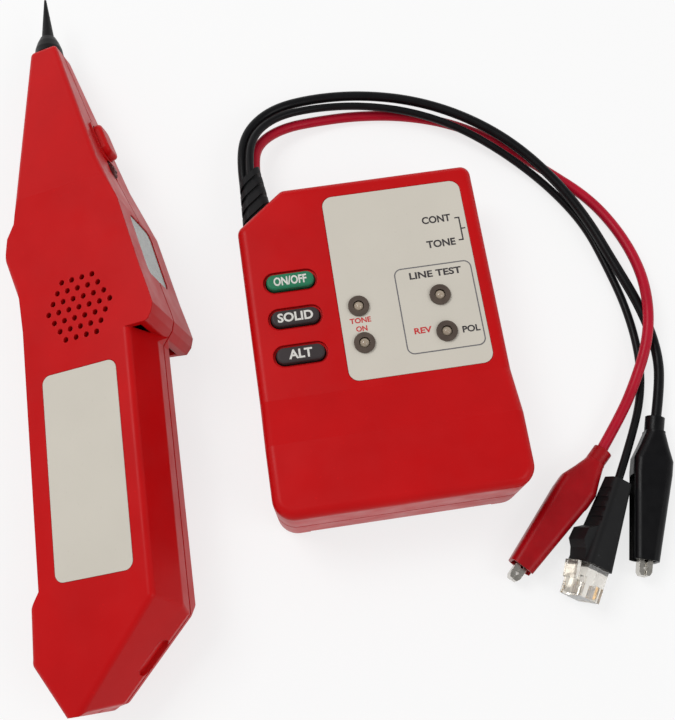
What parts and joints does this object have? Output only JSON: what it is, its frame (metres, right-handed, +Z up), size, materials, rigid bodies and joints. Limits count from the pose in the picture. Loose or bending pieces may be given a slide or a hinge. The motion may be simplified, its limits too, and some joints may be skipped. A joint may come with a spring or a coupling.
{
  "type": "tone probe kit",
  "caption": "Cable tracing kit: a wedge-shaped hand probe with a pointed tip, and a tone generator whose leads end in crocodile clips and a modular plug.",
  "frame": {"origin": "centre of the two cases' plan box, on the table surface", "axes": "+Z up from the table, +Y along both cases towards the probe's tip, +X from the probe to the generator"},
  "size_m": [0.1892, 0.222, 0.0353],
  "materials": {
    "case_red": "moulded ABS, satin with a light texture",
    "label_ivory": "printed overlay, satin",
    "bezel_grey": "moulded ring",
    "lamp_lens": "unlit smoky lens",
    "button_green": "moulded key",
    "button_dark": "moulded key",
    "inner_plastic": "moulded",
    "circuit_board": "glass-epoxy board with green mask",
    "battery_case": "lacquered steel",
    "plated_metal": "nickel plated",
    "screw_steel": "zinc plated",
    "black_rubber": "moulded soft vinyl",
    "lead_red": "soft vinyl sheath",
    "lead_black": "soft vinyl sheath",
    "clip_red": "dipped vinyl",
    "clip_black": "dipped vinyl",
    "clear_plastic": "clear polycarbonate",
    "gold_contact": "gold plated",
    "tip_black": "conductive plastic",
    "wheel_brown": "knurled wheel",
    "window_green": "grey-green panel",
    "jack_black": "moulded"
  },
  "bodies": {
    "generator": {"gen_upper_shell": "case_red", "gen_lower_shell": "case_red", "gen_control_label": "label_ivory", "gen_lamp_bezels": "bezel_grey", "gen_lamps": "lamp_lens", "gen_switch_body": "inner_plastic", "gen_circuit_board": "circuit_board", "gen_board_parts": "inner_plastic", "gen_key_switches": "inner_plastic", "gen_battery": "battery_case", "gen_battery_terminals": "plated_metal", "gen_battery_snap": "inner_plastic", "gen_shell_screws": "screw_steel", "gen_strain_relief": "black_rubber", "lead_red": "lead_red", "lead_black": "lead_black", "lead_plug": "lead_black", "plug_boot": "black_rubber", "plug_body": "clear_plastic", "plug_contacts": "gold_contact", "red_clip_boot": "clip_red", "red_clip_fixed_jaw": "plated_metal", "red_clip_pin": "plated_metal", "red_clip_spring": "plated_metal", "black_clip_boot": "clip_black", "black_clip_fixed_jaw": "plated_metal", "black_clip_pin": "plated_metal", "black_clip_spring": "plated_metal"},
    "probe": {"probe_upper_shell": "case_red", "probe_lower_shell": "case_red", "probe_sticker": "label_ivory", "probe_collar": "tip_black", "probe_tip": "tip_black", "probe_trigger_switch": "inner_plastic", "probe_volume_pot": "inner_plastic", "probe_window": "window_green", "probe_speaker": "inner_plastic", "probe_speaker_magnet": "plated_metal", "probe_jack": "jack_black", "probe_circuit_board": "circuit_board", "probe_board_parts": "inner_plastic", "probe_battery": "battery_case", "probe_battery_terminals": "plated_metal", "probe_battery_snap": "inner_plastic", "probe_screws": "screw_steel"},
    "button_on": {"gen_button_on": "button_green"},
    "button_solid": {"gen_button_solid": "button_dark"},
    "button_alt": {"gen_button_alt": "button_dark"},
    "switch_knob": {"gen_switch_knob": "button_dark"},
    "gen_door": {"gen_battery_door": "case_red"},
    "red_jaw": {"red_clip_moving_jaw": "plated_metal"},
    "black_jaw": {"black_clip_moving_jaw": "plated_metal"},
    "latch": {"plug_latch": "clear_plastic"},
    "trigger": {"probe_trigger": "case_red"},
    "volume": {"probe_volume_wheel": "wheel_brown"},
    "probe_door": {"probe_battery_door": "case_red"}
  },
  "joints": [
    {"name": "probe_lift", "type": "slide", "parent": "generator", "child": "probe", "axis": [0, 0, 1], "range_m": [0, 0.15]},
    {"name": "button_on_press", "type": "slide", "parent": "generator", "child": "button_on", "axis": [0, 0, -1], "range_m": [0, 0.0008], "stiffness_N_per_m": 600, "springref_m": -0.0004},
    {"name": "button_solid_press", "type": "slide", "parent": "generator", "child": "button_solid", "axis": [0, 0, -1], "range_m": [0, 0.0008], "stiffness_N_per_m": 600, "springref_m": -0.0004},
    {"name": "button_alt_press", "type": "slide", "parent": "generator", "child": "button_alt", "axis": [0, 0, -1], "range_m": [0, 0.0008], "stiffness_N_per_m": 600, "springref_m": -0.0004},
    {"name": "switch_slide", "type": "slide", "parent": "generator", "child": "switch_knob", "axis": [0, -1, 0], "range_m": [0, 0.0076]},
    {"name": "gen_door_slide", "type": "slide", "parent": "generator", "child": "gen_door", "axis": [0, -1, 0], "range_m": [0, 0.031]},
    {"name": "red_jaw_open", "type": "hinge", "parent": "generator", "child": "red_jaw", "pos_m": [0.081, -0.07394, 0.0042], "axis": [0, 0, 1], "range_deg": [0, 18], "stiffness_Nm_per_rad": 0.06, "springref_deg": -17.19},
    {"name": "black_jaw_open", "type": "hinge", "parent": "generator", "child": "black_jaw", "pos_m": [0.10626, -0.07146, 0.0042], "axis": [0, 0, -1], "range_deg": [0, 18], "stiffness_Nm_per_rad": 0.06, "springref_deg": -17.19},
    {"name": "latch_press", "type": "hinge", "parent": "generator", "child": "latch", "pos_m": [0.07681, -0.09815, 0.00749], "axis": [-0.3211, 0.1929, -0.9272], "range_deg": [0, 6.5], "stiffness_Nm_per_rad": 0.02},
    {"name": "trigger_press", "type": "slide", "parent": "probe", "child": "trigger", "axis": [-0.9477, -0.2725, -0.1659], "range_m": [0, 0.0012], "stiffness_N_per_m": 600, "springref_m": -0.0004},
    {"name": "volume_turn", "type": "hinge", "parent": "probe", "child": "volume", "pos_m": [-0.03982, 0.04351, 0.0147], "axis": [-0.1724, 0, 0.985], "range_deg": [-140, 140]},
    {"name": "probe_door_open", "type": "hinge", "parent": "probe", "child": "probe_door", "pos_m": [-0.04283, -0.03595, 0.0009], "axis": [1, 0, 0], "range_deg": [0, 75]}
  ]
}
